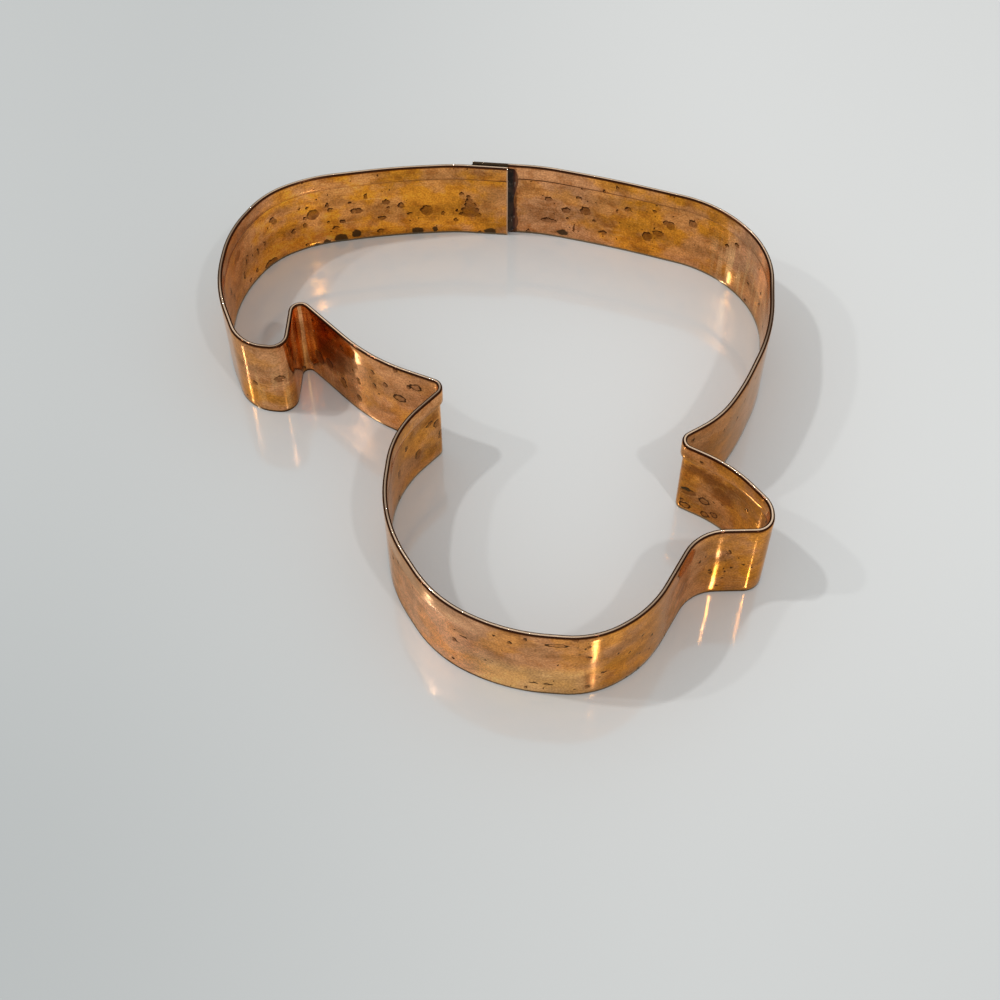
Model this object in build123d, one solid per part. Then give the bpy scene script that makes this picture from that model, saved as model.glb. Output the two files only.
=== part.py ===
from build123d import *
import os
from math import atan2, hypot, pi, tan

# A cookie cutter in the outline of a bath duck, standing on its cutting edge.
# One copper strip is hemmed along its top, bent round the outline and lapped at the duck's base,
# where solder joins its two ends. The head points to -Y, the tail to -X, and +Z is up.
# The origin is at the middle of the outline's bounding box, on the plane of the cutting edge.
# All sizes are in millimetres.

# The outline, measured over the outside of the strip
plan_length = 138.5
plan_width = 141.5

# The strip and its hem, which is folded inwards so that the rim is round and safe to press on
strip_height = 25.4
sheet_thickness = 0.5
fold_gap = 0.2
hem_depth = 4.75
smallest_bend_radius = 2.3

# The seam, where the inside end of the strip stops at the middle of the duck's base
lap_length = 9.4
solder_film = 0.1
solder_edge_gap = 0.4
outer_fillet_width = 0.7
outer_fillet_hollow = 0.1

# The solder that ran down the corner beside the inside end and set there with a drip near its foot
bead_toe_width = 1.7
bead_drip_width = 2.8
bead_neck_width = 2.0
bead_top_width = 2.5
bead_bulge = 0.1
bead_drip_bulge = 0.16
bead_cover_share = 0.6

# The run lies on the wall up to the hem's edge, and on the flap above it. Each row has a height, as a
# share of the wall's height below the hem or of the hem's depth, then a width and the skin's bulge.
wall_bead_rows = [
    (0.055, bead_toe_width, bead_bulge),
    (0.205, bead_drip_width, bead_drip_bulge),
    (0.405, bead_neck_width, bead_bulge),
    (0.760, bead_neck_width, bead_bulge),
    (1.020, bead_top_width, bead_bulge),
]
flap_bead_rows = [
    (0.00, bead_top_width, bead_bulge),
    (0.36, bead_top_width, bead_bulge),
    (0.76, bead_toe_width, bead_bulge),
]

# What follows from those sizes: the rim, and the middle lines of the two tracks at the seam
rim_width = 2 * sheet_thickness + fold_gap
rim_radius = rim_width / 2
fold_height = strip_height - rim_radius
flap_edge_height = strip_height - hem_depth
rim_length = plan_length - rim_width
rim_breadth = plan_width - rim_width
outer_track_y = rim_breadth / 2
inner_track_y = outer_track_y - rim_width - solder_film

# The faces that the solder sits against: the inner track's back, then the outer track's flap and wall
seat_y = inner_track_y + rim_radius
flap_face_y = outer_track_y - rim_radius
wall_face_y = outer_track_y + rim_radius - sheet_thickness

# The corners of the outline, walked from the inside end of the strip by the tail and the head.
# Each row has the corner's place as shares of rim_length and rim_breadth, and how far its bend
# reaches, as a share of the shorter of the two straight runs that meet there. A sharp bend has no
# reach: it is folded round the smallest former, at smallest_bend_radius.
sharp = None
gentle_share = 0.48
outline_shares = [
    (-0.218, 0.4735, gentle_share),  # base, tail side
    (-0.372, 0.435, gentle_share),
    (-0.450, 0.387, gentle_share),
    (-0.500, 0.288, gentle_share),  # rump
    (-0.500, 0.158, gentle_share),
    (-0.435, 0.026, 0.55),  # tail lobe
    (-0.353, 0.026, 0.34),
    (-0.357, 0.148, sharp),  # notch under the tail
    (-0.201, 0.0145, gentle_share),  # back
    (-0.061, -0.030, sharp),  # nape
    (-0.141, -0.134, gentle_share),  # back of the head
    (-0.141, -0.307, gentle_share),
    (-0.037, -0.450, gentle_share),
    (0.085, -0.500, gentle_share),  # crown
    (0.225, -0.500, gentle_share),
    (0.310, -0.438, gentle_share),  # forehead
    (0.378, -0.290, 0.38),  # root of the beak
    (0.497, -0.277, 0.52),  # tip of the beak
    (0.497, -0.228, 0.40),
    (0.430, -0.157, gentle_share),  # underside of the beak
    (0.335, -0.115, sharp),  # throat
    (0.412, -0.058, gentle_share),  # chest
    (0.451, 0.010, gentle_share),
    (0.500, 0.140, gentle_share),
    (0.500, 0.326, gentle_share),
    (0.403, 0.431, gentle_share),  # base, chest side
    (0.204, 0.477, gentle_share),
]

# The two runs of the seam are straight, side by side, and these are the first bends beyond them
first_bend_share = -0.102
last_bend_share = 0.066
seam_bend_reach_share = 0.27


def turn_at(before, corner, after):
    """The angle through which the outline turns at a corner, without its sign."""
    heading_in = atan2(corner[1] - before[1], corner[0] - before[0])
    heading_out = atan2(after[1] - corner[1], after[0] - corner[0])
    return abs((heading_out - heading_in + pi) % (2 * pi) - pi)


def bend_radius(before, corner, after, reach_share):
    """The radius of the bend at a corner, at the middle line of the rim."""
    if reach_share is sharp:
        return smallest_bend_radius
    run_in = hypot(corner[0] - before[0], corner[1] - before[1])
    run_out = hypot(after[0] - corner[0], after[1] - corner[1])
    return reach_share * min(run_in, run_out) / tan(turn_at(before, corner, after) / 2)


def rim_path():
    """The middle line of the rim, from the inside end of the strip to the outside end."""
    places = [(0, inner_track_y), (first_bend_share * rim_length, inner_track_y)]
    places += [(x_share * rim_length, y_share * rim_breadth) for x_share, y_share, _ in outline_shares]
    places += [(last_bend_share * rim_length, outer_track_y), (-lap_length, outer_track_y)]
    reaches = [reach_share for _, _, reach_share in outline_shares]
    reaches = [seam_bend_reach_share] + reaches + [seam_bend_reach_share]
    radii = [bend_radius(*corner) for corner in zip(places, places[1:], places[2:], reaches)]
    return FilletPolyline(*places, radius=radii)


def hem_section():
    """The strip's cross-section: the wall, the half-round fold and the flap that hangs inside it."""
    slit = fold_gap / 2
    return make_face([
        Line((slit, 0), (rim_radius, 0)),
        Line((rim_radius, 0), (rim_radius, fold_height)),
        ThreePointArc((rim_radius, fold_height), (0, strip_height), (-rim_radius, fold_height)),
        Line((-rim_radius, fold_height), (-rim_radius, flap_edge_height)),
        Line((-rim_radius, flap_edge_height), (-slit, flap_edge_height)),
        Line((-slit, flap_edge_height), (-slit, fold_height)),
        Line((-slit, fold_height), (slit, fold_height)),
        Line((slit, fold_height), (slit, 0)),
    ])


def copper_band():
    """The hemmed strip, swept round the outline from its inside end to its outside end."""
    start = Plane(origin=(0, inner_track_y, 0), x_dir=(0, 1, 0), z_dir=(1, 0, 0))
    return sweep(start * hem_section(), path=rim_path())


def lap_solder():
    """The solder drawn in between the two tracks, with the small fillet at the outside end."""
    film_section = make_face(Polyline(
        (seat_y, solder_edge_gap),
        (wall_face_y, solder_edge_gap),
        (wall_face_y, flap_edge_height),
        (flap_face_y, flap_edge_height),
        (flap_face_y, fold_height),
        (seat_y, fold_height),
        close=True,
    ))
    outside_end = Plane(origin=(-lap_length, 0, 0), x_dir=(0, 1, 0), z_dir=(1, 0, 0))
    film = extrude(outside_end * film_section, lap_length)
    heel = (-lap_length, seat_y)
    toe = (-lap_length - outer_fillet_width, seat_y)
    lip = (-lap_length, seat_y + outer_fillet_width)
    hollow_skin = SagittaArc(toe, lip, -outer_fillet_hollow)
    fillet_section = make_face([Line(heel, toe), hollow_skin, Line(lip, heel)])
    fillet_run = extrude(fillet_section, fold_height - solder_edge_gap)
    return film + Pos(0, 0, solder_edge_gap) * fillet_run


def solder_run(rows, low, reach, face_y):
    """Solder in the corner between the inside end and a face behind it, lofted through its widths."""
    crest_y = seat_y - sheet_thickness * bead_cover_share
    sections = []
    for height_share, width, bulge in rows:
        corner = (0, face_y)
        foot = (width, face_y)
        lip = (0, crest_y)
        skin = make_face([Line(corner, foot), SagittaArc(foot, lip, bulge), Line(lip, corner)])
        sections.append(Pos(0, 0, low + height_share * reach) * skin)
    return loft(sections)


def seam_bead():
    """The run of solder beside the inside end, on the wall and further up on the flap."""
    flap_room = Box(
        2 * bead_drip_width,
        wall_face_y - flap_face_y,
        hem_depth,
        align=(Align.CENTER, Align.MIN, Align.MIN),
    )
    wall_run = solder_run(wall_bead_rows, 0, flap_edge_height, wall_face_y)
    wall_run -= Pos(0, flap_face_y, flap_edge_height) * flap_room
    return wall_run + solder_run(flap_bead_rows, flap_edge_height, hem_depth, flap_face_y)


pieces = {
    "copper_band": copper_band(),
    "lap_solder": lap_solder(),
    "seam_bead": seam_bead(),
}
os.makedirs("parts", exist_ok=True)
for name, piece in pieces.items():
    export_step(piece, f"parts/{name}.step")
    print(f"{name}: {piece.volume:.1f} mm3, {len(piece.faces())} faces")
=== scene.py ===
# %% [markdown]
# # A copper cookie cutter on a table top
#
# The real cutter is one strip of copper sheet. Its upper edge is hemmed, which means folded over so
# that the rim is round, and the strip is then bent round an outline and soldered where its ends lap.
# The CAD model gives the exact strip and the solder. This lesson dresses it: the strip is bent again
# here with the small waves that hand-bent sheet has, and gets the tarnish of a well used cutter.
# Shapes are in metres and the patterns on the metal in millimetres, and all sizes come from the CAD
# model or from named values.

# %% Load the CAD model as the frame
from math import atan2, ceil, cos, hypot, pi, radians, sin, tan
from types import SimpleNamespace

import bmesh
import bpy
import numpy as np
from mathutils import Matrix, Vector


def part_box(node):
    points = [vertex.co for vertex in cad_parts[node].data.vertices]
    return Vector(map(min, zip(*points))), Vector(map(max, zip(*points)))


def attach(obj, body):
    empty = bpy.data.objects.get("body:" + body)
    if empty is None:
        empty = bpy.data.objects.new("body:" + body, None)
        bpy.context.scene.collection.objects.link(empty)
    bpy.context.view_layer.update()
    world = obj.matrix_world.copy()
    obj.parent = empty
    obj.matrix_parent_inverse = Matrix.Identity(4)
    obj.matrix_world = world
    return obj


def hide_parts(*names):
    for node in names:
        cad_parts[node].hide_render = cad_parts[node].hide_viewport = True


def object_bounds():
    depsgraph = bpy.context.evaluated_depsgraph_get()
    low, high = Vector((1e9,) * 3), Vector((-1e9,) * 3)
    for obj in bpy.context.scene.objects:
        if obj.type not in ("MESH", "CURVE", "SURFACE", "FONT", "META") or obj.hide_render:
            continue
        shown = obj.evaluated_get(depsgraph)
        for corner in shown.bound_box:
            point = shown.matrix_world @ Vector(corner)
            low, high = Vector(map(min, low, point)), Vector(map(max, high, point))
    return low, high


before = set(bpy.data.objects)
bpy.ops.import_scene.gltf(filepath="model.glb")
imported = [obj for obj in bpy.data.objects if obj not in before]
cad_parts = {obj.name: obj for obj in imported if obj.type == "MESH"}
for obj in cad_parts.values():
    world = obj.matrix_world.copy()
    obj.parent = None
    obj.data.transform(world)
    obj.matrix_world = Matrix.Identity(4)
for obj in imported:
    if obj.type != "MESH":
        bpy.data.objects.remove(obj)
cad_low, cad_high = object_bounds()
bpy.ops.object.select_all(action="DESELECT")
MM = 0.001
print("CAD box in mm:", [round(size / MM, 1) for size in cad_high - cad_low])

# %% [markdown]
# ## The outline, as runs and bends
#
# A maker bends the strip round formers: a straight run, a bend of some radius, another run, and so on.
# The outline is kept in that way, as the corners that the runs would meet in and how far each bend
# reaches into its runs. It could also be drawn as one curve, but runs and bends can be followed
# exactly, and they tell how far along the strip any point is, which the tarnish needs later.

# %% The corners of the outline
sheet_thickness = 0.5 * MM
fold_gap = 0.2 * MM
hem_depth = 4.75 * MM
smallest_bend_radius = 2.3 * MM
lap_length = 9.4 * MM
solder_film = 0.1 * MM

band_low, band_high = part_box("copper_band")
strip_height = band_high.z - band_low.z
rim_width = 2 * sheet_thickness + fold_gap
rim_radius = rim_width / 2
fold_height = strip_height - rim_radius
flap_edge_height = strip_height - hem_depth
rim_length = band_high.x - band_low.x - rim_width
rim_breadth = band_high.y - band_low.y - rim_width
outer_track_y = rim_breadth / 2
inner_track_y = outer_track_y - rim_width - solder_film

# Each row is a corner as shares of the rim's length and breadth, and its bend's reach as a share of
# the shorter of its two runs. A sharp bend is folded round the smallest former.
sharp = None
gentle_share = 0.48
outline_shares = [
    (-0.218, 0.4735, gentle_share),  # base, tail side
    (-0.372, 0.435, gentle_share),
    (-0.450, 0.387, gentle_share),
    (-0.500, 0.288, gentle_share),  # rump
    (-0.500, 0.158, gentle_share),
    (-0.435, 0.026, 0.55),  # tail lobe
    (-0.353, 0.026, 0.34),
    (-0.357, 0.148, sharp),  # notch under the tail
    (-0.201, 0.0145, gentle_share),  # back
    (-0.061, -0.030, sharp),  # nape
    (-0.141, -0.134, gentle_share),  # back of the head
    (-0.141, -0.307, gentle_share),
    (-0.037, -0.450, gentle_share),
    (0.085, -0.500, gentle_share),  # crown
    (0.225, -0.500, gentle_share),
    (0.310, -0.438, gentle_share),  # forehead
    (0.378, -0.290, 0.38),  # root of the beak
    (0.497, -0.277, 0.52),  # tip of the beak
    (0.497, -0.228, 0.40),
    (0.430, -0.157, gentle_share),  # underside of the beak
    (0.335, -0.115, sharp),  # throat
    (0.412, -0.058, gentle_share),  # chest
    (0.451, 0.010, gentle_share),
    (0.500, 0.140, gentle_share),
    (0.500, 0.326, gentle_share),
    (0.403, 0.431, gentle_share),  # base, chest side
    (0.204, 0.477, gentle_share),
]
first_bend_share = -0.102
last_bend_share = 0.066
seam_bend_reach_share = 0.27

# %% Turn the corners into runs and bends


def heading_of(start, stop):
    return atan2(stop[1] - start[1], stop[0] - start[0])


def distance_between(start, stop):
    return hypot(stop[0] - start[0], stop[1] - start[1])


def direction(heading):
    return np.array((cos(heading), sin(heading)))


def runs_and_bends():
    """The rim's middle line from the inside end of the strip to the outside end."""
    places = [(0, inner_track_y), (first_bend_share * rim_length, inner_track_y)]
    places += [(x_share * rim_length, y_share * rim_breadth) for x_share, y_share, _ in outline_shares]
    places += [(last_bend_share * rim_length, outer_track_y), (-lap_length, outer_track_y)]
    reaches = [reach_share for _, _, reach_share in outline_shares]
    reaches = [seam_bend_reach_share] + reaches + [seam_bend_reach_share]
    track = []
    here = np.array(places[0])
    along = 0.0
    for before, corner, after, reach in zip(places, places[1:], places[2:], reaches):
        heading = heading_of(before, corner)
        turn = (heading_of(corner, after) - heading + pi) % (2 * pi) - pi
        radius = smallest_bend_radius
        if reach is not sharp:
            shorter_run = min(distance_between(before, corner), distance_between(corner, after))
            radius = reach * shorter_run / tan(abs(turn) / 2)
        forward = direction(heading)
        left = np.array((-forward[1], forward[0]))
        bend_start = np.array(corner) - forward * radius * tan(abs(turn) / 2)
        run_length = float(np.linalg.norm(bend_start - here))
        run = {"kind": "run", "along": along, "length": run_length, "start": here, "heading": heading}
        along += run_length
        centre = bend_start + left * radius * np.sign(turn)
        bend = {"kind": "bend", "along": along, "length": radius * abs(turn), "centre": centre}
        bend.update(heading=heading, turn=turn, radius=radius)
        along += radius * abs(turn)
        track += [run, bend]
        next_heading = heading + turn
        here = np.array(corner) + direction(next_heading) * radius * tan(abs(turn) / 2)
    last = float(np.linalg.norm(np.array(places[-1]) - here))
    track.append({"kind": "run", "along": along, "length": last, "start": here, "heading": next_heading})
    return track, along + last


track, strip_length = runs_and_bends()
print(len(track), "runs and bends, strip length in mm:", round(strip_length / MM, 1))

# %% [markdown]
# ## Bending the strip
#
# The strip starts as a small upright grid, one step long, whose top edge is spun over into the fold and
# drawn down as the flap. Its leading edge is then extruded along every run and spun round every bend,
# just as the sheet passes the formers. A curve with a bevel profile would be quicker, but its rings
# crowd or spread at tight bends, and here each bend gets as many rings as it needs.

# %% Helpers to select and to travel
ring_spacing = 1.6 * MM
ring_turn = radians(9)
first_step = 1 * MM
wall_rows = 15
fold_steps = 10
flap_rows = 3
nearly = 0.01 * MM


def pick(test):
    """In edit mode, selects just the edges whose two ends pass the test."""
    bpy.ops.mesh.select_all(action="DESELECT")
    mesh = bmesh.from_edit_mesh(bpy.context.object.data)
    for edge in mesh.edges:
        if all(test(vertex.co) for vertex in edge.verts):
            edge.select_set(True)
    bmesh.update_edit_mesh(bpy.context.object.data)


def draw_out(step, count):
    """Extrudes what is selected by a step, again and again."""
    for _ in range(count):
        bpy.ops.mesh.extrude_region_move(TRANSFORM_OT_translate={"value": step})


def spin_round(centre, axis, turn, count):
    """Extrudes what is selected round an axis. The operator counts turns the other way."""
    bpy.ops.mesh.spin(steps=count, angle=-turn, center=centre, axis=axis)


def travel(piece, skip=0.0):
    """Passes the leading edge of the strip along one run or round one bend."""
    if piece["kind"] == "run":
        length = piece["length"] - skip
        count = max(1, ceil(length / ring_spacing))
        step = direction(piece["heading"]) * length / count
        draw_out((step[0], step[1], 0), count)
        return count
    count = max(ceil(piece["length"] / ring_spacing), ceil(abs(piece["turn"]) / ring_turn))
    spin_round((piece["centre"][0], piece["centre"][1], 0), (0, 0, 1), piece["turn"], count)
    return count


# %% Start the strip and pass it round the outline
wall_offset = rim_radius - sheet_thickness / 2
bpy.ops.mesh.primitive_grid_add(
    x_subdivisions=1,
    y_subdivisions=wall_rows,
    size=1,
    location=(-first_step / 2, inner_track_y + wall_offset, fold_height / 2),
    rotation=(pi / 2, 0, 0),
    scale=(first_step, fold_height, 1),
)
strip = bpy.context.object
strip.name = "hemmed_strip"
strip.scale = (first_step, fold_height, 1)
bpy.ops.object.transform_apply(location=True, rotation=True, scale=True)
bpy.ops.object.mode_set(mode="EDIT")
bpy.ops.mesh.select_mode(type="EDGE")
pick(lambda place: place.z > fold_height - nearly)
spin_round((0, inner_track_y, fold_height), (1, 0, 0), pi, fold_steps)
draw_out((0, 0, (flap_edge_height - fold_height) / flap_rows), flap_rows)
pick(lambda place: place.x < -first_step + nearly)
rings = travel(track[0], skip=first_step)
for piece in track[1:]:
    rings += travel(piece)
bpy.ops.mesh.select_all(action="SELECT")
bpy.ops.mesh.normals_make_consistent(inside=False)
bpy.ops.object.mode_set(mode="OBJECT")
print("rings:", rings, "faces:", len(strip.data.polygons))

# %% [markdown]
# ## Where each point is on the strip
#
# Patterns that follow the strip need to know how far along it a point is, and how far outside its
# middle line. Each point is compared with every run and bend, and takes the nearest one.

# %% Measure points along the track


def beside_run(piece, points):
    forward = direction(piece["heading"])
    right = np.array((forward[1], -forward[0]))
    way = points - piece["start"]
    step = np.clip(way @ forward, 0, piece["length"])
    outside = way @ right
    return piece["along"] + step, outside, np.hypot(way @ forward - step, outside)


def beside_bend(piece, points):
    side = np.sign(piece["turn"])
    way = points - piece["centre"]
    reach = np.hypot(way[:, 0], way[:, 1])
    start_angle = piece["heading"] - side * pi / 2
    turned = (np.arctan2(way[:, 1], way[:, 0]) - start_angle) * side
    turned = np.clip((turned + pi) % (2 * pi) - pi, 0, abs(piece["turn"]))
    angle = start_angle + side * turned
    nearest = piece["centre"] + piece["radius"] * np.stack([np.cos(angle), np.sin(angle)], axis=1)
    gap = np.hypot(*(points - nearest).T)
    return piece["along"] + turned * piece["radius"], (reach - piece["radius"]) * side, gap


def measure_along(points):
    """How far each point is along the strip, and how far outside its middle line."""
    along = np.zeros(len(points))
    outside = np.zeros(len(points))
    nearest = np.full(len(points), np.inf)
    for piece in track:
        measure = beside_run if piece["kind"] == "run" else beside_bend
        step, out, gap = measure(piece, points)
        closer = gap < nearest
        along[closer], outside[closer], nearest[closer] = step[closer], out[closer], gap[closer]
    return along, outside


def vertex_places(mesh):
    places = np.zeros(len(mesh.vertices) * 3)
    mesh.vertices.foreach_get("co", places)
    return places.reshape(-1, 3)


def smooth_step(value, low, high):
    share = np.clip((value - low) / (high - low), 0, 1)
    return share * share * (3 - 2 * share)


# %% [markdown]
# ## Waves in the sheet
#
# Thin sheet that was bent by hand is never quite flat, and the waves show as wavering highlights. A
# Displace modifier pushes the wall in and out by a soft cloud texture. The hem is stiff, and the lap is
# held by solder, so a vertex group lets only the free wall move.

# %% Add the waves
wave_height = 0.14 * MM
wave_size = 15 * MM
stiff_from = 12 * MM
stiff_to = 19 * MM
lap_hold = 4 * MM
lap_fade = 16 * MM

places = vertex_places(strip.data)
along, outside = measure_along(places[:, :2])
from_lap = np.minimum(along, strip_length - lap_length - along)
free = (1 - smooth_step(places[:, 2], stiff_from, stiff_to)) * smooth_step(from_lap, lap_hold, lap_fade)
free *= outside > 0
group = strip.vertex_groups.new(name="free_wall")
for number, share in enumerate(free):
    group.add([number], float(share), "REPLACE")

waves = bpy.data.textures.new("sheet_waves", "CLOUDS")
waves.noise_scale = wave_size
waves.noise_depth = 1
push = strip.modifiers.new("waves", "DISPLACE")
push.texture = waves
push.texture_coords = "LOCAL"
push.strength = wave_height
push.mid_level = 0.5
push.vertex_group = group.name
bpy.ops.object.modifier_apply(modifier=push.name)
moved = np.abs(vertex_places(strip.data) - places).max()
print("largest wave in mm:", round(moved / MM, 3))

# %% [markdown]
# ## Thickness and cut edges
#
# So far the strip is a sheet with no thickness. Solidify gives it the real half millimetre, half to
# each side, and a narrow bevel breaks the cut edges, which would otherwise catch no light.

# %% Give the strip its thickness
edge_break = 0.06 * MM
edge_segments = 2
edge_angle = radians(60)
smooth_angle = radians(35)
wall = strip.modifiers.new("thickness", "SOLIDIFY")
wall.thickness = sheet_thickness
wall.offset = 0
wall.use_even_offset = True
bpy.ops.object.modifier_apply(modifier=wall.name)
bevel = strip.modifiers.new("broken_edges", "BEVEL")
bevel.width = edge_break
bevel.segments = edge_segments
bevel.limit_method = "ANGLE"
bevel.angle_limit = edge_angle
bpy.ops.object.modifier_apply(modifier=bevel.name)
bpy.ops.object.mode_set(mode="EDIT")
bpy.ops.mesh.select_all(action="SELECT")
bpy.ops.mesh.normals_make_consistent(inside=False)
bpy.ops.object.mode_set(mode="OBJECT")
bpy.ops.object.shade_smooth_by_angle(angle=smooth_angle)
strip.vertex_groups.clear()
print("strip faces:", len(strip.data.polygons))

# %% [markdown]
# ## The strip's own coordinates
#
# The attribute called strip holds, in millimetres, how far along the strip a point is and how far up
# it is, measured over the fold and down the flap as on the flat sheet. The third number tells the two
# faces of the sheet apart, so that a mark on one face doesn't show on the other.

# %% Store the coordinates on the mesh
inside_face = 40.0
fold_start = fold_height / MM
fold_end = fold_start + pi * rim_radius / MM

places = vertex_places(strip.data)
along, outside = measure_along(places[:, :2])
above = places[:, 2] - fold_height
over_fold = np.arctan2(above, outside) * rim_radius / MM
down_flap = fold_end - above / MM
up = np.where(outside > 0, places[:, 2] / MM, down_flap)
up = np.where(above > 0, fold_start + over_fold, up)
hidden = np.hypot(outside, np.maximum(above, 0)) < wall_offset
coordinates = np.stack([along / MM, up, hidden * inside_face], axis=1)
attribute = strip.data.attributes.new("strip", "FLOAT_VECTOR", "POINT")
attribute.data.foreach_set("vector", coordinates.astype(np.float32).ravel())
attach(strip, "root")
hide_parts("copper_band")
print("developed width in mm:", round(coordinates[:, 1].max(), 2))

# %% [markdown]
# ## Helpers for node materials
#
# A material is a small network. These helpers add one node each and return what it puts out, so that
# a finish reads from top to bottom like a recipe. A smooth step is kept as a row of numbers: where it
# starts, where it stops, and what it gives before and after, if that isn't 0 and 1.

# %% Node helpers


def put(tree, kind, inputs=None, **settings):
    """Adds a node. Inputs are given by name or number, as values or as another node's output."""
    node = tree.nodes.new(kind)
    for name, value in settings.items():
        setattr(node, name, value)
    for name, value in (inputs or {}).items():
        if isinstance(value, bpy.types.NodeSocket):
            tree.links.new(value, node.inputs[name])
        else:
            node.inputs[name].default_value = value
    return node


def calculate(tree, operation, first, second=0.0, third=0.0, clamp=False):
    inputs = {0: first, 1: second, 2: third}
    return put(tree, "ShaderNodeMath", inputs, operation=operation, use_clamp=clamp).outputs[0]


def plus(tree, first, second):
    return calculate(tree, "ADD", first, second)


def times(tree, first, second):
    return calculate(tree, "MULTIPLY", first, second)


def lesser(tree, first, second):
    return calculate(tree, "MINIMUM", first, second)


def place_math(tree, operation, *inputs):
    return put(tree, "ShaderNodeVectorMath", dict(enumerate(inputs)), operation=operation).outputs[0]


def split(tree, place):
    return put(tree, "ShaderNodeSeparateXYZ", {0: place}).outputs


def between(tree, value, start, stop, before=0.0, after=1.0):
    """A smooth step in a value, from what it gives before its start to what it gives after its stop."""
    inputs = {0: value, 1: start, 2: stop, 3: before, 4: after}
    return put(tree, "ShaderNodeMapRange", inputs, interpolation_type="SMOOTHSTEP").outputs[0]


def blend(tree, share, first, second, how="MIX"):
    """Mixes two colours, which are inputs 6 and 7 of this node, and gives its output 2."""
    inputs = {0: share, 6: first, 7: second}
    return put(tree, "ShaderNodeMix", inputs, data_type="RGBA", blend_type=how).outputs[2]


def noise(tree, place, size=1.0, detail=2.0, roughness=0.5, squeeze=None):
    """A noise, which can be squeezed by a factor in each direction."""
    if squeeze:
        place = place_math(tree, "MULTIPLY", place, squeeze)
    inputs = {"Vector": place, "Scale": 1 / size, "Detail": detail, "Roughness": roughness}
    return put(tree, "ShaderNodeTexNoise", inputs).outputs[0]


def bump(tree, height, depth, **more):
    inputs = {"Strength": 1.0, "Distance": depth, "Height": height, **more}
    return put(tree, "ShaderNodeBump", inputs).outputs[0]


def colour(*shown):
    """Red, green and blue as a screen shows them, from 0 to 255, put through the sRGB curve."""
    parts = [part / 255 for part in shown]
    return [part / 12.92 if part <= 0.04045 else ((part + 0.055) / 1.055) ** 2.4 for part in parts] + [1]


# %% Helpers for materials and groups


def new_material(name):
    material = bpy.data.materials.new(name)
    material.use_nodes = True
    return material, material.node_tree, material.node_tree.nodes["Principled BSDF"]


def new_group(name, inputs, outputs):
    """A node group with named inputs and outputs, each given with its kind of socket."""
    tree = bpy.data.node_groups.new(name, "ShaderNodeTree")
    for in_out, sockets in (("INPUT", inputs), ("OUTPUT", outputs)):
        for socket_name, kind in sockets.items():
            tree.interface.new_socket(socket_name, in_out=in_out, socket_type=kind)
    return tree, tree.nodes.new("NodeGroupInput").outputs, tree.nodes.new("NodeGroupOutput").inputs


def use_group(tree, group, inputs):
    return put(tree, "ShaderNodeGroup", inputs, node_tree=group).outputs


VALUE = "NodeSocketFloat"
PLACE = "NodeSocketVector"

# %% [markdown]
# ## Grain that both metals share
#
# Old copper and old solder have cloudy patches, finer mottling and a grain that is almost too fine to
# see. The same three noises serve both, at different sizes, so they are built once as a group.

# %% The grain group
mottle_ratio = 2.8
cloud_look = {"Detail": 5.0, "Roughness": 0.55}
mottle_look = {"Detail": 6.0, "Roughness": 0.65, "Distortion": 0.4}
grain_look = {"Detail": 2.0}

grain_group, given, made = new_group(
    "metal_grain",
    {"Place": PLACE, "Patches per mm": VALUE, "Grain per mm": VALUE},
    {"Patches": VALUE, "Mottle": VALUE, "Grain": VALUE},
)
mottle_scale = times(grain_group, given[1], mottle_ratio)
patterns = [(given[1], cloud_look), (mottle_scale, mottle_look), (given[2], grain_look)]
for (scale, look), socket in zip(patterns, made):
    pattern = put(grain_group, "ShaderNodeTexNoise", {"Vector": given[0], "Scale": scale, **look})
    grain_group.links.new(pattern.outputs[0], socket)


def use_grain(tree, place, patch_size, grain_size):
    inputs = {"Place": place, "Patches per mm": 1 / patch_size, "Grain per mm": 1 / grain_size}
    return use_group(tree, grain_group, inputs)[:3]


print("group", grain_group.name, "has", len(grain_group.nodes), "nodes")
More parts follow.
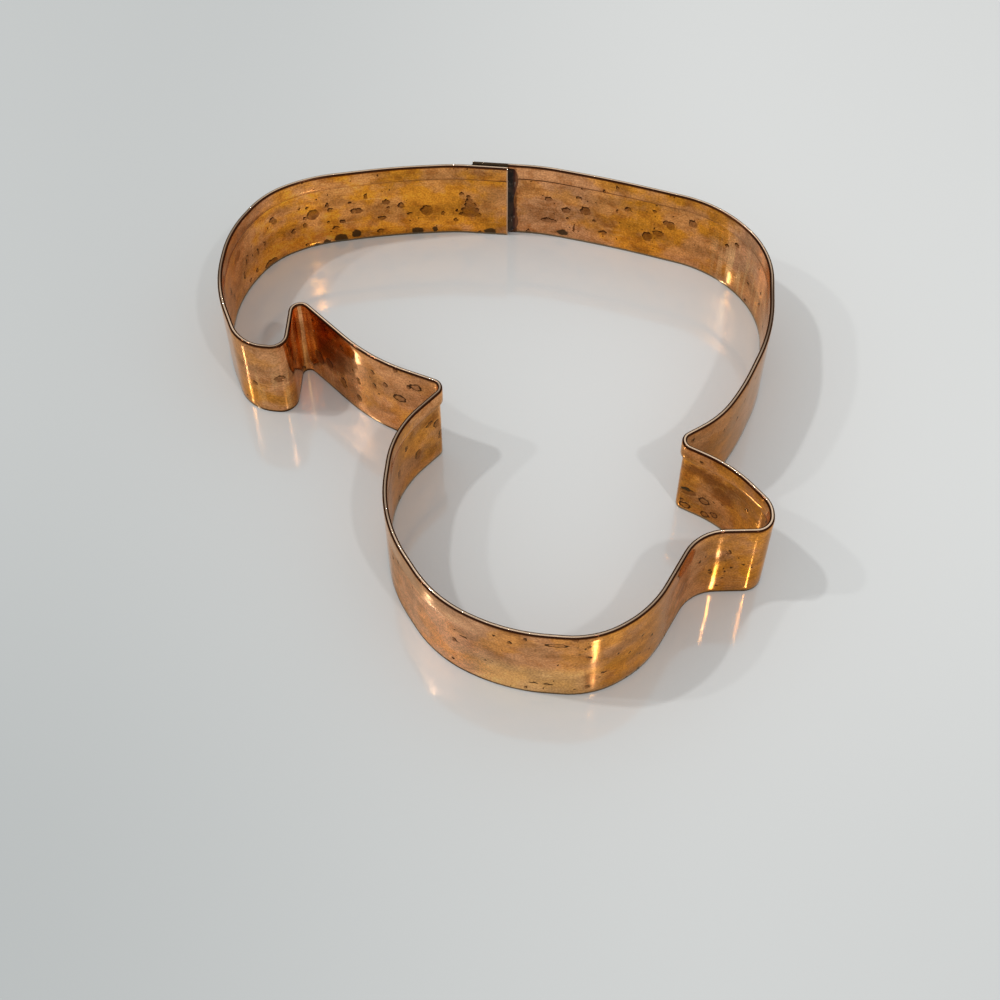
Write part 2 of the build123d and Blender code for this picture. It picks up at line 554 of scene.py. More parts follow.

# %% [markdown]
# ## Water marks
#
# Where drops dried on the copper they left brown marks, most of them one to three millimetres wide and
# darker round their edge. The ones that stand out are placed one by one, in the strip's own coordinates.
# Each is an oval: the distance from its middle, divided by its half width and half height. The nearest
# oval counts, and a noise makes the edges wander. Small marks between them come from a cell texture.

# %% The marks that stand out
# Each row has millimetres along the strip and up it, then the mark's width and height.
inner_drops = [
    (52.5, 12, 3.4, 3.9), (63.5, 14.9, 1.7, 2), (56, 15.4, 0.9, 1), (53.9, 14.8, 0.9, 1),
    (47.8, 12.6, 1.5, 1.5), (40.7, 11, 3.4, 2.1), (42.4, 14.4, 1.3, 0.8), (44.8, 7.6, 1.7, 1.5),
    (46.8, 5.6, 1.9, 1.2), (48.6, 8.2, 1, 1), (32.6, 13.1, 1.9, 2.1), (32.2, 11, 1.2, 1),
    (28.7, 11.3, 1.8, 2.1), (26.5, 8.2, 1.2, 1), (21.9, 8.9, 3.4, 4), (34, 7.4, 2.5, 1.5),
    (34.7, 2.4, 1.7, 1.7), (12.4, 14.8, 1.5, 1.2), (38, 16, 1, 1.2), (501.8, 13.9, 2, 1.8),
    (497.1, 10.8, 2.7, 2.1), (491.7, 12, 3, 3), (494, 16.4, 1.1, 1.4), (501.6, 5.9, 4.6, 1.9),
    (486.6, 5.2, 2.5, 1.5), (489.2, 8.9, 1.2, 1), (474.4, 7.6, 2.9, 3.3), (468.4, 13.6, 2.5, 3),
    (471.6, 9.6, 3.4, 2.4), (462.6, 16.2, 2.5, 2.4), (480.4, 15.8, 1.8, 1.5), (452, 14.4, 1.3, 1.2),
    (448.9, 17, 1.3, 1.4), (186.9, 8.2, 1.8, 3.4), (188.3, 13.6, 1.8, 3.2), (195.1, 7.9, 2, 3.4),
    (366.8, 8, 4.4, 2.8), (190.6, 15.6, 2.6, 1.6), (203.4, 9.6, 1.2, 3), (199.2, 14.8, 1.2, 2.2),
    (70.4, 8.9, 0.9, 2.6), (77.4, 6.6, 1, 2.8), (86.7, 10.2, 1, 2.6), (85, 6.4, 0.8, 2),
    (64.1, 15.8, 2, 1.8), (75.6, 10, 0.8, 1.8), (67.5, 9.6, 0.9, 1.8), (66.4, 1.3, 4.6, 2.4),
    (10.1, 7.3, 6.3, 2.2), (10.1, 8.9, 4.9, 2.6), (10.2, 10.6, 3.4, 2.6), (10.4, 12.2, 2, 2.4),
    (10.5, 13.6, 1.1, 1.6), (494.6, 4.8, 0.7, 3.2),
]
outer_drops = [
    (155.6, 6.6, 2.2, 4), (161.4, 12.4, 1.2, 2.8), (161, 5.4, 1.9, 2.8), (146.4, 8.6, 3.2, 5),
    (150.4, 9.6, 2.8, 3.6), (125.3, 13.2, 2.3, 2.9), (118.9, 10.4, 1.4, 1.6), (276.8, 4.5, 2.2, 0.7),
    (273.6, 4.6, 2, 0.7), (257.2, 15.6, 2.2, 0.7), (255.4, 12.2, 2, 0.6), (289, 8.4, 1.4, 0.7),
]
inner_rings = [(362.3, 7, 3, 2.6), (367, 2.2, 3.2, 2), (361.6, 2, 2.6, 2), (359.2, 3.8, 2, 1.8)]
outer_rings = [(173.8, 14.2, 3.4, 2.6), (178.3, 20.6, 3.4, 2.2), (278.3, 22.2, 5.2, 1.4)]
outer_specks = [
    (284.4, 20.8, 0.8, 0.6), (283.2, 18.4, 0.9, 0.4), (282.8, 2.6, 0.8, 0.6), (298.6, 8, 0.8, 0.7),
    (325.9, 10.4, 1.1, 0.9), (330.9, 10.8, 0.8, 0.7), (329.4, 13.6, 1, 0.3), (333.6, 11.6, 0.8, 0.5),
    (328.4, 3, 0.8, 0.5), (329.4, 6.2, 1, 0.5), (167.8, 12.2, 0.6, 0.8), (262.6, 9.4, 0.7, 0.6),
]
inner_smudges = [(364, 16.6, 19, 5.6), (358, 13, 7, 7), (190.5, 17, 9, 3.4), (79, 15.5, 5, 4)]
# The outer smudge at 152 mm darkens the notch under the tail: painted shade
outer_smudges_and_shade = [(316.5, 11, 6.5, 8), (152, 14, 14, 16), (286, 6, 4, 9)]
inner_blots = [
    (45.6, 1.3, 4, 3.6), (41.4, 2.4, 2.9, 3.3), (49.6, 0.8, 2, 2), (24.7, 1.3, 3.7, 2.9),
    (19.8, 1.6, 1.7, 2.2), (4.9, 1.2, 3.7, 2.6), (497.8, 2.2, 3.4, 2.2), (52.4, 0.5, 1.8, 1.6),
    (367.4, 8.6, 2.8, 1.4),
]

# %% A group that finds the nearest mark
# The small marks: a cell's size, the share of cells left empty and the largest mark as a share of it
small_marks = [(3.4, 0.6, 0.2), (2.3, 0.7, 0.09)]
smallest_mark = 0.001
mark_flatness = 0.7
crowd_size = 16.0
crowding = (0.42, 0.58, 0.15, 1.0)


def nearest_oval(tree, place, ovals, face):
    """The distance from the nearest of some ovals, which is 1 all round an oval's edge."""
    nearest = None
    for along_mm, up_mm, width, height in ovals:
        shrink = (2 / width, 2 / height, 1.0)
        shift = (-along_mm * shrink[0], -up_mm * shrink[1], -face)
        moved_place = place_math(tree, "MULTIPLY_ADD", place, shrink, shift)
        away = put(tree, "ShaderNodeVectorMath", {0: moved_place}, operation="LENGTH").outputs["Value"]
        nearest = away if nearest is None else lesser(tree, nearest, away)
    return nearest


def nearest_on_both(tree, place, inner_ovals, outer_ovals):
    inner = nearest_oval(tree, place, inner_ovals, inside_face)
    return lesser(tree, inner, nearest_oval(tree, place, outer_ovals, 0.0))


def drop_marks():
    """A group that tells how far a place is from the nearest drop's middle: 1 is the drop's edge."""
    tree, given, made = new_group("drop_marks", {"Place": PLACE}, {"Away": VALUE})
    away = nearest_on_both(tree, given[0], inner_drops, outer_drops)
    along_it, up_it, face = split(tree, given[0])
    flat = {0: plus(tree, along_it, face), 1: times(tree, up_it, mark_flatness)}
    flat_place = put(tree, "ShaderNodeCombineXYZ", flat).outputs[0]
    crowded = between(tree, noise(tree, given[0], crowd_size), *crowding)
    for cell, empty_share, largest in small_marks:
        inputs = {"Vector": flat_place, "Scale": 1 / cell}
        cells = put(tree, "ShaderNodeTexVoronoi", inputs, voronoi_dimensions="2D").outputs
        kind = put(tree, "ShaderNodeSeparateColor", {0: cells["Color"]}).outputs[0]
        size = times(tree, between(tree, kind, empty_share, 1.0, smallest_mark, largest), crowded)
        away = lesser(tree, away, calculate(tree, "DIVIDE", cells["Distance"], size))
    tree.links.new(away, made[0])
    return tree


drop_group = drop_marks()
print("the group of drops has", len(drop_group.nodes), "nodes")

# %% [markdown]
# ## Aged copper, and how its patterns find their place
#
# Clean copper is pink, and the thin oxide of a used cutter turns it golden, then brown. On the real
# cutter each stretch has aged in its own way, so much of the finish is a table of millimetres along the
# strip and a value there, read by a colour ramp. The flap hangs inside, so its tarnish goes on from
# that of the wall below it. A painted image could hold this too, but it would blur in a close view.

# %% Read the strip's coordinates
patch_size = 9.0
grain_size = 0.5
to_inside = (0.4 * inside_face, 0.6 * inside_face)
crown_line = (fold_start + fold_end) / 2
over_crown = (crown_line - 0.1, crown_line + 0.1)
hem_edge = flap_edge_height / MM
flap_end = fold_end + fold_start - hem_edge
lap_start = (strip_length - lap_length) / MM


def read_strip(tree):
    """Where a place is on the strip, whether it is inside, and the grain there."""
    coordinates = put(tree, "ShaderNodeAttribute", attribute_name="strip").outputs["Vector"]
    along_it, up_it, face = split(tree, coordinates)
    is_flap = between(tree, up_it, *over_crown)
    inside = calculate(tree, "MAXIMUM", between(tree, face, *to_inside), is_flap)
    height = lesser(tree, up_it, calculate(tree, "SUBTRACT", 2 * crown_line, up_it))
    side = times(tree, inside, inside_face)
    place = put(tree, "ShaderNodeCombineXYZ", {0: along_it, 1: height, 2: side}).outputs[0]
    at = SimpleNamespace(along=along_it, up=up_it, height=height, inside=inside, place=place)
    at.share_along = times(tree, along_it, MM / strip_length)
    at.from_crown = calculate(tree, "ABSOLUTE", calculate(tree, "SUBTRACT", up_it, crown_line))
    at.outside = calculate(tree, "SUBTRACT", 1.0, inside)
    at.patches, at.mottle, at.grain = use_grain(tree, place, patch_size, grain_size)
    return at


copper, tree, shader = new_material("aged_copper")
at = read_strip(tree)
print("nodes that read the strip:", len(tree.nodes))

# %% Follow a table along the strip


def along_curve(tree, at, table, most=1.0):
    """A value that follows a table of millimetres along the strip, and is never above the most."""
    ramp = put(tree, "ShaderNodeValToRGB", {"Fac": at.share_along})
    stops = ramp.color_ramp.elements
    while len(stops) < len(table):
        stops.new(1.0)
    for stop, (along_mm, value) in zip(stops, table):
        stop.position = along_mm * MM / strip_length
        stop.color = (value / most, value / most, value / most, 1.0)
    return times(tree, ramp.outputs[0], most)


def by_side(tree, at, outer_table, inner_table, most=1.0):
    """The outer table's value on the outside of the strip, and the inner one's on its inside."""
    outer = along_curve(tree, at, outer_table, most)
    return blend(tree, at.inside, outer, along_curve(tree, at, inner_table, most))


# %% [markdown]
# ## Gold, pink and brown
#
# The colour goes from gold to pink by patches, and the tables say which stretches stay gold. The hem
# and the foot are pinker. What is seen of polished metal is mostly reflection, which its colour only
# tints, so these colours are light ones.

# %% Mix the base colour
gold = colour(222, 146, 46)
pink = colour(206, 146, 98)
brown = colour(158, 88, 28)
rim_red = colour(104, 52, 26)

# Each row has millimetres along the strip and how pink the metal is there, from 0 to 1
inner_pinkness = [
    (0, 0.5), (3, 0.2), (12, 0.08), (52, 0.15), (64, 0.4), (80, 0.45), (110, 0.4), (180, 0.4), (200, 0.6),
    (240, 0.5), (340, 0.3), (356, 0.45), (372, 0.4), (426, 1), (440, 1), (447, 0.85), (453, 0.35),
    (460, 0.35), (468, 0.2), (488, 0.2), (495, 0.85), (510, 1),
]
outer_pinkness = [
    (110, 0.5), (118, 0.75), (134, 1), (150, 1), (160, 0.9), (184, 0.85), (196, 0.5), (216, 0.8),
    (226, 1), (254, 1), (264, 0.5), (283, 0.65), (290, 0.35), (303, 0.4), (310, 0.9), (320, 0.8),
    (326, 0.55), (333, 0.25), (340, 0.25), (380, 0.8), (400, 0.6), (520, 0.5),
]

# How much browner the metal is there
darker_stretches = [
    (320, 0), (326, 0.1), (344, 0.3), (360, 0.35), (376, 0.3), (400, 0.3), (420, 0.2), (440, 0),
]

# How much pinker and how much browner the hem is there
hem_pinkness = [
    (0, 0.35), (30, 0.06), (60, 0.1), (68, 0.5), (92, 0.5), (104, 0.06), (470, 0.06), (500, 0.55),
]
hem_brownness = [(60, 0), (68, 0.35), (90, 0.35), (100, 0)]
to_hem = (hem_edge - 1.0, hem_edge + 0.6)

# What the height adds on the outside and at the foot, and what the patches add
outside_pinkness = (6.0, 15.0, -0.25, 0.2)
foot_pinkness = (1.0, 4.5, 0.25, 0.0)
patch_pinkness = (0.4, 0.6, -0.35, 0.4)


def gold_and_pink(tree, at):
    hem = between(tree, at.height, *to_hem)
    rise = times(tree, between(tree, at.height, *outside_pinkness), at.outside)
    pinkness = by_side(tree, at, outer_pinkness, inner_pinkness)
    pinkness = plus(tree, pinkness, times(tree, hem, along_curve(tree, at, hem_pinkness)))
    pinkness = plus(tree, pinkness, rise)
    pinkness = plus(tree, pinkness, between(tree, at.height, *foot_pinkness))
    by_patch = between(tree, at.patches, *patch_pinkness)
    tone = blend(tree, calculate(tree, "ADD", pinkness, by_patch, clamp=True), gold, pink)
    tone = blend(tree, along_curve(tree, at, darker_stretches), tone, brown)
    return blend(tree, times(tree, hem, along_curve(tree, at, hem_brownness)), tone, rim_red)


tone = gold_and_pink(tree, at)
print("with gold and pink:", len(tree.nodes), "nodes")

# %% [markdown]
# ## Clouds, rubbed lines, streaks and haze
#
# Brown clouds lie over the base colour, and fine lines run along the strip where it was rubbed. Pale
# upright streaks are laid on too, and on the inside they are painted reflections of the lamps in the wavy
# wall. A pinkish haze covers two stretches, and smudges darken a few places; the one in the notch under
# the tail is painted shade. Most are a noise, drawn out along or up the strip, times a table that says
# where it is.

# %% Lay them over the base colour
pale = colour(244, 196, 132)
smudge_and_shade_brown = colour(140, 76, 26)
haze_pink = colour(192, 156, 130)

# Clouds, which are stronger inside
to_cloud = (0.45, 0.68)
cloud_share = 0.45
more_inside = 0.15

# Lines along the strip, brown and pale, and where the outside is rubbed pale near its foot
line_look = {"detail": 4.0, "roughness": 0.6, "squeeze": (0.1, 2.2, 1.0)}
brown_lines = (0.56, 0.74, 0.0, 0.5)
pale_lines = (0.26, 0.4, 0.4, 0.0)
outer_polish = [(254, 0), (264, 0.6), (282, 0.6), (290, 0)]
polish_height = (9.0, 13.0, 1.0, 0.0)

# Pale upright streaks, which fade towards the hem. Inside, from 422 to 458 mm, they are painted
# reflections of the lamps in the wavy wall.
streak_squeeze = (0.55, 0.04, 1.0)
to_streak = (0.5, 0.6)
inner_painted_reflections = [(422, 0), (428, 0.75), (450, 0.6), (458, 0)]
outer_streaks = [(110, 0), (116, 0.25), (128, 0.25), (136, 0.5), (152, 0.5), (158, 0)]
streak_height = (12.0, 18.0, 1.0, 0.3)

# Haze and smudges
inner_haze = [(408, 0), (416, 0.5), (440, 0.5), (448, 0.2), (456, 0)]
outer_haze = [(216, 0), (226, 0.5), (250, 0.5), (262, 0.3), (270, 0.1), (278, 0)]
haze_by_patch = (0.4, 0.58, 0.7, 1.2)
smudge_wander = (0.3, 0.7, 0.35, -0.35)
smudge_edge = (0.4, 1.15, 0.7, 0.0)


def clouds_and_streaks(tree, at, tone):
    cloudiness = calculate(tree, "MULTIPLY_ADD", at.inside, more_inside, cloud_share)
    tone = blend(tree, times(tree, between(tree, at.mottle, *to_cloud), cloudiness), tone, brown)
    lines = noise(tree, at.place, **line_look)
    tone = blend(tree, between(tree, lines, *brown_lines), tone, brown)
    tone = blend(tree, between(tree, lines, *pale_lines), tone, pale)
    rubbed = times(tree, along_curve(tree, at, outer_polish), between(tree, at.height, *polish_height))
    tone = blend(tree, times(tree, rubbed, at.outside), tone, pale)
    streaks = between(tree, noise(tree, at.place, squeeze=streak_squeeze), *to_streak)
    fading = between(tree, at.height, *streak_height)
    streak_and_reflection_share = times(tree, by_side(tree, at, outer_streaks, inner_painted_reflections), fading)
    # On the inside these streaks are painted reflections
    tone = blend(tree, times(tree, streaks, streak_and_reflection_share), tone, pale)
    hazy = between(tree, at.patches, *haze_by_patch)
    tone = blend(tree, times(tree, by_side(tree, at, outer_haze, inner_haze), hazy), tone, haze_pink)
    # Smudges, and painted shade in the notch under the tail
    smudges_and_shade = nearest_on_both(tree, at.place, inner_smudges, outer_smudges_and_shade)
    wandering = between(tree, at.mottle, *smudge_wander)
    smudges_and_shade = between(tree, plus(tree, smudges_and_shade, wandering), *smudge_edge)
    return blend(tree, smudges_and_shade, tone, smudge_and_shade_brown)


tone = clouds_and_streaks(tree, at, tone)
print("with clouds and streaks:", len(tree.nodes), "nodes")

# %% [markdown]
# ## Light and dark
#
# The same tarnish is lighter in some stretches than in others, and a grain and soft patches make it
# lighter and darker on a small scale. All of these are factors, so they are multiplied together and
# then into the colour, which keeps its hue.

# %% Make it lighter and darker
# How light the metal is, as a factor
inner_lightness = [
    (0, 1.02), (24, 1.06), (36, 1.14), (50, 1.34), (62, 1.22), (80, 1.24), (100, 1.1), (190, 1),
    (355, 0.96), (376, 0.96), (426, 1.1), (436, 1.05), (447, 0.85), (456, 0.93), (466, 0.93), (488, 0.98),
    (506, 1.08),
]
outer_lightness = [
    (110, 1), (118, 0.93), (128, 0.95), (136, 1.15), (150, 1.15), (160, 1), (169, 1.2), (184, 1.2),
    (240, 1), (247, 1.25), (256, 1.32), (266, 1.08), (300, 1), (380, 0.9), (400, 0.9), (420, 1),
]
most_light = 2.0

# How each noise changes the light
grain_light = (0.3, 0.7, 0.76, 1.24)
mottle_light = (0.3, 0.5, 1.2, 0.98)
patch_light = (0.38, 0.62, 0.82, 1.16)
light_patch_look = {"detail": 3.0, "squeeze": (0.07, 0.16, 1.0)}


def light_and_dark(tree, at, tone):
    light_patches = noise(tree, at.place, **light_patch_look)
    factor = times(tree, between(tree, at.grain, *grain_light), between(tree, at.mottle, *mottle_light))
    factor = times(tree, factor, between(tree, light_patches, *patch_light))
    factor = times(tree, factor, by_side(tree, at, outer_lightness, inner_lightness, most_light))
    return blend(tree, 1.0, tone, factor, "MULTIPLY")


tone = light_and_dark(tree, at, tone)
print("with light and dark:", len(tree.nodes), "nodes")

# %% [markdown]
# ## The look of the marks
#
# A dried drop leaves a brown film, and a dark crescent where the last of it dried, to one side. The
# crescent is where the drop is, but the same drop moved aside is not. Some marks are open rings, the
# foot has a few dark blots, and small specks are darkest.

# %% Draw the marks
mark_brown = colour(106, 54, 20)
mark_edge = colour(50, 24, 10)
olive = colour(56, 46, 32)

wander_per_mm = 0.9
wander_reach = 0.7
crescent_shift = (0.22, 0.42, 0.0)
crescent_share = 0.9
ring_share = 0.35
ring_edge_share = 0.95

# Each mark's edge, where its middle is 0 and its outline is 1, and the film's mottling
film_edge = (0.92, 1.06, 1.0, 0.0)
film_mottling = (0.3, 0.6, 0.85, 0.45)
beside_edge = (0.85, 1.1)
ring_outer_edge = (0.95, 1.1, 1.0, 0.0)
ring_inner_edge = (0.55, 0.85)
blot_edge = (0.8, 1.05, 0.9, 0.0)
speck_edge = (0.7, 1.1, 0.9, 0.0)


def wandering_place(tree, at):
    """The place, moved about a little by a noise, so that what is drawn there has uneven edges."""
    inputs = {"Vector": at.place, "Scale": wander_per_mm, "Detail": 3.0}
    wander = put(tree, "ShaderNodeTexNoise", inputs).outputs[1]
    span, low = (2 * wander_reach, 2 * wander_reach, 0), (-wander_reach, -wander_reach, 0)
    return place_math(tree, "ADD", at.place, place_math(tree, "MULTIPLY_ADD", wander, span, low))


def water_marks(tree, at, place, tone):
    """The tone with the marks on it, and where a drop's film lies."""
    away = use_group(tree, drop_group, {"Place": place})[0]
    moved_place = place_math(tree, "ADD", place, crescent_shift)
    beside = use_group(tree, drop_group, {"Place": moved_place})[0]
    film = between(tree, away, *film_edge)
    crescent = times(tree, film, between(tree, beside, *beside_edge))
    mottled = between(tree, at.mottle, *film_mottling)
    tone = blend(tree, times(tree, film, mottled), tone, mark_brown)
    tone = blend(tree, times(tree, crescent, crescent_share), tone, mark_edge)
    rings = nearest_on_both(tree, place, inner_rings, outer_rings)
    ring_inside = between(tree, rings, *ring_outer_edge)
    ring_edge = times(tree, between(tree, rings, *ring_inner_edge), ring_inside)
    tone = blend(tree, times(tree, ring_inside, ring_share), tone, mark_brown)
    tone = blend(tree, times(tree, ring_edge, ring_edge_share), tone, mark_edge)
    blots = nearest_oval(tree, place, inner_blots, inside_face)
    tone = blend(tree, between(tree, blots, *blot_edge), tone, olive)
    specks = nearest_oval(tree, place, outer_specks, 0.0)
    return blend(tree, between(tree, specks, *speck_edge), tone, mark_edge), film


marked_place = wandering_place(tree, at)
tone, film = water_marks(tree, at, marked_place, tone)
print("with marks:", len(tree.nodes), "nodes")

# %% [markdown]
# ## The foot, the fold and the seam
#
# The fold's crown has a painted highlight, a pale line that stands in for the lamps' reflection in the
# round fold, and its shoulders have a painted dark reflection. A thin painted contact shade runs along
# the foot, a painted shade line shows under the hem's edge near the seam, flux has stained the copper
# beside the solder, and the inside end of the strip shows raw metal.

# %% Finish the edges
# Painted contact shade along the foot, greyish inside and darkest outside
inner_foot_shade = colour(120, 108, 88)
# Painted highlight, standing in for the lamps' reflection on the fold's crown
crown_painted_highlight = colour(250, 219, 187)
# Painted dark reflection on the fold's shoulders
shoulder_painted_shade = colour(58, 31, 16)
# Flux stain, also used for the painted shade under the hem's edge
stain_and_shade = colour(72, 32, 20)
raw_edge = colour(204, 170, 140)

# How bright the painted highlight on the crown is, and how strong the painted shade line under the hem's
# edge
crown_highlight_strength = [
    (60, 0.9), (72, 0.35), (94, 0.3), (104, 0.8), (112, 0.9), (122, 0.6), (136, 0.5), (144, 1),
    (180, 1), (188, 0.3), (200, 0.4), (226, 0.5), (236, 0.95), (262, 0.9), (276, 1), (284, 0.8),
    (294, 0.45), (318, 0.4), (326, 1), (366, 1), (378, 0.85), (386, 0.5), (402, 0.5), (410, 0.2),
    (424, 0.2), (434, 0.7), (446, 1),
]
hem_shade_shares = [
    (0, 0.9), (4, 0.7), (8, 0.4), (24, 0.5), (32, 0.2), (440, 0.2), (470, 0.45), (490, 0.7), (500, 0.95),
]

# Steps in millimetres up the strip: the foot's painted shade, the hem's painted shade line, the flap's
# edge and the stain
foot_shade_line = (0.4, 0.9, 0.95, 0.0)
to_hem_shade = (flap_end - 0.5, flap_end - 0.3)
to_flap_edge = (flap_end - 0.12, flap_end - 0.04, 0.0, 0.85)
stain_height = (12.0, 18.0, 0.8, 0.3)

# Steps away from the crown: the painted highlight, the shoulder's painted shade, the red rim and the
# lap's rim
crown_highlight_half = (0.1, 0.23, 1.0, 0.0)
shoulder_shade_half = (0.55, 0.75, 1.0, 0.0)
red_half = (0.7, 1.1, 0.7, 0.0)
lap_rim_half = (1.6, 2.2, 0.95, 0.0)

# Steps along the strip: where the stain starts and stops, where the lap starts, and the inside end
stain_start = (lap_start - 2.7, lap_start - 2.0)
stain_stop = (lap_start + 1.0, lap_start + 1.5, 1.0, 0.0)
to_lap = (lap_start - 0.6, lap_start + 0.4)
raw_end = (0.2, 0.4, 0.85, 0.0)


def foot_and_fold(tree, at, tone):
    # Painted contact shade along the foot, where the wall meets the table
    foot_shade = blend(tree, at.inside, mark_edge, inner_foot_shade)
    tone = blend(tree, between(tree, at.up, *foot_shade_line), tone, foot_shade)
    tone = blend(tree, between(tree, at.from_crown, *red_half), tone, rim_red)
    # The shoulder's dark band is painted shade, and the crown's pale line a painted highlight
    tone = blend(tree, between(tree, at.from_crown, *shoulder_shade_half), tone, shoulder_painted_shade)
    crown_highlight_share = between(tree, at.from_crown, *crown_highlight_half)
    crown_highlight_share = times(tree, crown_highlight_share, along_curve(tree, at, crown_highlight_strength))
    tone = blend(tree, crown_highlight_share, tone, crown_painted_highlight)
    # Painted shade in the gap under the hem's edge
    hem_shade = between(tree, at.up, *to_hem_shade)
    hem_shade = times(tree, hem_shade, along_curve(tree, at, hem_shade_shares))
    tone = blend(tree, hem_shade, tone, stain_and_shade)
    return blend(tree, between(tree, at.up, *to_flap_edge), tone, brown)


def seam_stains(tree, at, place, tone):
    along_there, _, _ = split(tree, place)
    started = between(tree, along_there, *stain_start)
    stained = times(tree, started, between(tree, along_there, *stain_stop))
    stained = times(tree, stained, between(tree, at.height, *stain_height))
    tone = blend(tree, times(tree, stained, at.inside), tone, stain_and_shade)
    in_lap = between(tree, at.along, *to_lap)
    lap_rim = times(tree, in_lap, between(tree, at.from_crown, *lap_rim_half))
    tone = blend(tree, lap_rim, tone, olive)
    return blend(tree, between(tree, at.along, *raw_end), tone, raw_edge)


tone = foot_and_fold(tree, at, tone)
tone = seam_stains(tree, at, marked_place, tone)
print("with edges and stains:", len(tree.nodes), "nodes")

# %% [markdown]
# ## Gloss and relief
#
# Polished copper mirrors the lamps as narrow streaks. Slight dents make them waver, some stretches are
# duller than others, and the marks are dullest. Dents could be modelled, but a bump is enough, because
# they are far too shallow to show in the outline.

# %% Put the copper together
grazing_tint = (1.0, 0.84, 0.66, 1.0)

# How much roughness is added along the strip, and at which heights that starts or stops
inner_dullness = [
    (44, 0), (48, 0.12), (56, 0.12), (61, 0), (412, 0), (420, 0.12), (440, 0.12), (446, 0.25),
    (457, 0.25), (463, 0),
]
outer_dullness = [
    (111, 0), (114, 0.08), (120, 0.08), (124, 0), (127, 0), (133, 0.1), (150, 0.15), (155, 0.25),
    (163, 0.2), (168, 0), (226, 0), (234, 0.5), (259, 0.5), (267, 0), (304, 0), (310, 0.25),
    (319, 0.25), (324, 0),
]
inner_dull_height = (4.0, 8.0)
outer_dull_height = (18.0, 21.0, 1.0, 0.0)

# The gloss, then the dents and the fine relief
copper_roughness = (0.3, 0.75, 0.035, 0.12)
mark_roughness = 0.2
dent_size = 8.0
dent_depth = 0.075 * MM
relief_depth = 0.0004 * MM
grain_relief = 0.3


def how_rough(tree, at, film):
    inner = between(tree, at.height, *inner_dull_height)
    inner = times(tree, along_curve(tree, at, inner_dullness), inner)
    outer = between(tree, at.height, *outer_dull_height)
    outer = times(tree, along_curve(tree, at, outer_dullness), outer)
    rough = between(tree, at.mottle, *copper_roughness)
    rough = plus(tree, rough, blend(tree, at.inside, outer, inner))
    return plus(tree, rough, times(tree, film, mark_roughness))


def dents_and_relief(tree, at):
    dents = noise(tree, at.place, dent_size, detail=1.0)
    relief = plus(tree, times(tree, at.grain, grain_relief), at.mottle)
    return bump(tree, relief, relief_depth, Normal=bump(tree, dents, dent_depth))


def dress(piece, material):
    """Gives a piece one material, in place of any that it has."""
    piece.data.materials.clear()
    piece.data.materials.append(material)


shader.inputs["Metallic"].default_value = 1.0
shader.inputs["Specular Tint"].default_value = grazing_tint
tree.links.new(tone, shader.inputs["Base Color"])
tree.links.new(how_rough(tree, at, film), shader.inputs["Roughness"])
tree.links.new(dents_and_relief(tree, at), shader.inputs["Normal"])
dress(strip, copper)
print("aged copper has", len(tree.nodes), "nodes")

# %% [markdown]
# ## Old solder
#
# The solder in the lap has gone nearly black, with a little bare metal on the ridge of the run, and its
# thin toe is stained like the copper round it. It uses the same grain as the copper at a smaller size,
# and object coordinates, because it isn't a strip.

# %% Mix the old solder
solder_dark = colour(30, 22, 16)
solder_brown = colour(62, 45, 32)
toe_brown = colour(132, 84, 50)
bare_metal = colour(180, 168, 150)
solder_patch_size = 2.2
solder_grain_size = 0.2
ridge_look = {"detail": 3.0, "squeeze": (2.2, 2.2, 0.25)}
lump_depth = 0.02 * MM
solder_metallic = 0.8

# Steps in the patches, the distance from the strip's inside end, the ridge's noise and the grain
to_brown_solder = (0.4, 0.65)
stained_toe = (1.2, 1.7, 0.0, 0.85)
thin_toe = (1.7, 2.2, 0.0, 0.8)
bare_ridge = (0.66, 0.76, 0.0, 0.7)
solder_roughness = (0.2, 0.8, 0.3, 0.55)


def old_solder():
    material, tree, shader = new_material("dark_solder")
    place = put(tree, "ShaderNodeTexCoord").outputs["Object"]
    place = put(tree, "ShaderNodeVectorMath", {0: place, "Scale": 1 / MM}, operation="SCALE").outputs[0]
    patches, mottle, grain = use_grain(tree, place, solder_patch_size, solder_grain_size)
    tone = blend(tree, between(tree, patches, *to_brown_solder), solder_dark, solder_brown)
    from_end, _, _ = split(tree, place)
    tone = blend(tree, between(tree, from_end, *stained_toe), tone, stain_and_shade)
    tone = blend(tree, between(tree, from_end, *thin_toe), tone, toe_brown)
    ridges = noise(tree, place, **ridge_look)
    tone = blend(tree, between(tree, ridges, *bare_ridge), tone, bare_metal)
    shader.inputs["Metallic"].default_value = solder_metallic
    tree.links.new(tone, shader.inputs["Base Color"])
    tree.links.new(between(tree, grain, *solder_roughness), shader.inputs["Roughness"])
    tree.links.new(bump(tree, mottle, lump_depth), shader.inputs["Normal"])
    return material


solder = old_solder()
solder_pieces = ("lap_solder", "seam_bead")
for node_name in solder_pieces:
    dress(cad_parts[node_name], solder)
print("solder on:", solder_pieces)

# %% [markdown]
# ## The table top
#
# The cutter stands on a pale laminate, glossy enough to mirror the bright streaks of the copper. Its
# colour is a little brighter at the right and the back, which is painted light: the table is lit more
# brightly there. It is only a stage, not part of the object.

# %% The floor
floor_size = 4.0
floor_dim = colour(169, 173, 173)
floor_bright = colour(209, 211, 210)
painted_light_across = (-120 * MM, 80 * MM)
painted_light_back = (-150 * MM, 20 * MM)
share_across = 0.66
floor_roughness = 0.1
floor_mirror = 0.9

bpy.ops.object.select_all(action="DESELECT")
bpy.ops.mesh.primitive_plane_add(size=floor_size, location=(0, 0, 0))
floor = bpy.context.object
floor.name = "table_top"
material, tree, shader = new_material("pale_laminate")
floor_place = put(tree, "ShaderNodeTexCoord").outputs["Object"]
across, back, _ = split(tree, floor_place)
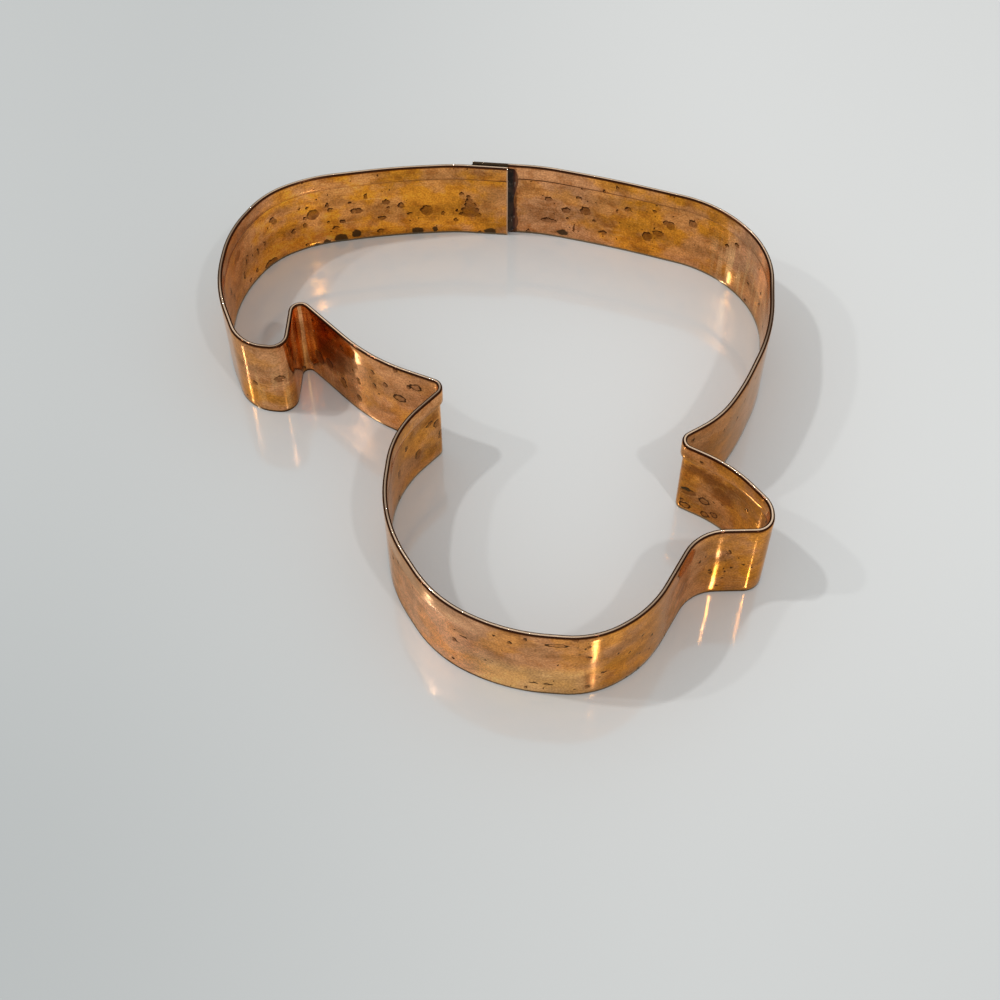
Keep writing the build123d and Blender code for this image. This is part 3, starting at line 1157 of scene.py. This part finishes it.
# Painted light: the table's colour brightens towards the right and the back
painted_light_share = plus(
    tree,
    between(tree, across, *painted_light_across, 0.0, share_across),
    between(tree, back, *painted_light_back, 0.0, 1 - share_across),
)
tree.links.new(blend(tree, painted_light_share, floor_dim, floor_bright), shader.inputs["Base Color"])
shader.inputs["Roughness"].default_value = floor_roughness
shader.inputs["Specular IOR Level"].default_value = floor_mirror
dress(floor, material)
print("floor", floor.name, "is", floor_size, "m wide")

# %% [markdown]
# ## Light
#
# Two small lamps on the left give the two crisp shadows, one over the other. A third at the right
# front gives the shadow behind the cutter and the streaks on the walls that face it. The rest is a
# pale room, brighter overhead. Each lamp's strength is its share of the light that falls on the table,
# and with the room's share they add up to about one, so that a colour looks as it is written.

# %% Lamps and room
lamp_distance = 1.3
middle = (cad_low + cad_high) / 2
room_low = (0.34, 0.34, 0.34, 1.0)
room_high = (0.84, 0.84, 0.84, 1.0)
to_overhead = (0.0, 0.8)

# Each lamp's azimuth and elevation in degrees, its width in metres and its share of the light
lamps = {
    "left_lamp_high": (179, 61, 0.05, 0.19),
    "left_lamp_low": (-174, 48, 0.05, 0.08),
    "front_lamp": (-53, 56, 0.055, 0.115),
}


def add_lamp(name, azimuth, elevation, size, share):
    """A round lamp aimed at the object. Azimuth 0 is +X and 90 is +Y."""
    lamp = bpy.data.lights.new(name, "AREA")
    lamp.shape = "DISK"
    lamp.size = size
    lamp.energy = share * pi ** 2 * lamp_distance ** 2 / sin(radians(elevation))
    thing = bpy.data.objects.new(name, lamp)
    bpy.context.scene.collection.objects.link(thing)
    flat = lamp_distance * cos(radians(elevation))
    thing.location = (
        middle.x + flat * cos(radians(azimuth)),
        middle.y + flat * sin(radians(azimuth)),
        lamp_distance * sin(radians(elevation)),
    )
    thing.rotation_euler = (middle - thing.location).to_track_quat("-Z", "Y").to_euler()
    print(name, "energy", round(lamp.energy, 2))


for lamp_name, settings in lamps.items():
    add_lamp(lamp_name, *settings)

world = bpy.data.worlds.new("pale_room")
bpy.context.scene.world = world
world.use_nodes = True
tree = world.node_tree
facing = put(tree, "ShaderNodeTexCoord").outputs["Generated"]
_, _, upwards = split(tree, facing)
room = blend(tree, between(tree, upwards, *to_overhead), room_low, room_high)
tree.links.new(room, tree.nodes["Background"].inputs["Color"])

# %% [markdown]
# ## Camera
#
# The camera looks down at the cutter from the side of the head, a little turned to the left. Its place
# and lens were worked out from the photograph's perspective.

# %% The camera
lens_mm = 58.54
camera_place = (0.02513, -0.24211, 0.3274)
camera_tilt = radians(34.38)
camera_turn = radians(5.0)

camera = bpy.data.cameras.new("camera")
camera.lens = lens_mm
camera_object = bpy.data.objects.new("camera", camera)
bpy.context.scene.collection.objects.link(camera_object)
camera_object.location = camera_place
camera_object.rotation_euler = (camera_tilt, 0, camera_turn)
bpy.context.scene.camera = camera_object
bpy.context.scene.view_settings.view_transform = "Standard"
print("camera lens in mm:", lens_mm)
